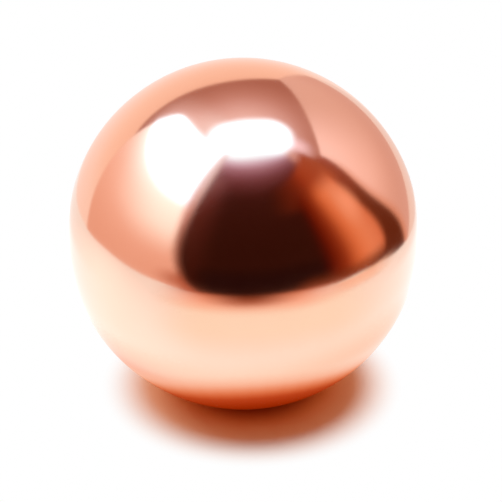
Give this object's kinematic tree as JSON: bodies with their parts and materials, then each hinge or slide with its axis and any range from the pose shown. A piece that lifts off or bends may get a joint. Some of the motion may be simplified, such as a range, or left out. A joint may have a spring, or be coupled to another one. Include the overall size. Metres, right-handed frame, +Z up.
{
  "type": "copper sphere",
  "caption": "Solid mirror-polished copper sphere, a plain seamless ball for a desk, bench or display stand.",
  "frame": {"origin": "centre of the sphere", "axes": "+Z up, away from the lowest point, where a stand or a flat surface carries the ball; the ball is alike about every axis through its centre"},
  "size_m": [0.05, 0.05, 0.05],
  "materials": {
    "polished_copper": "polished"
  },
  "bodies": {
    "root": {"copper_sphere": "polished_copper"}
  },
  "joints": []
}
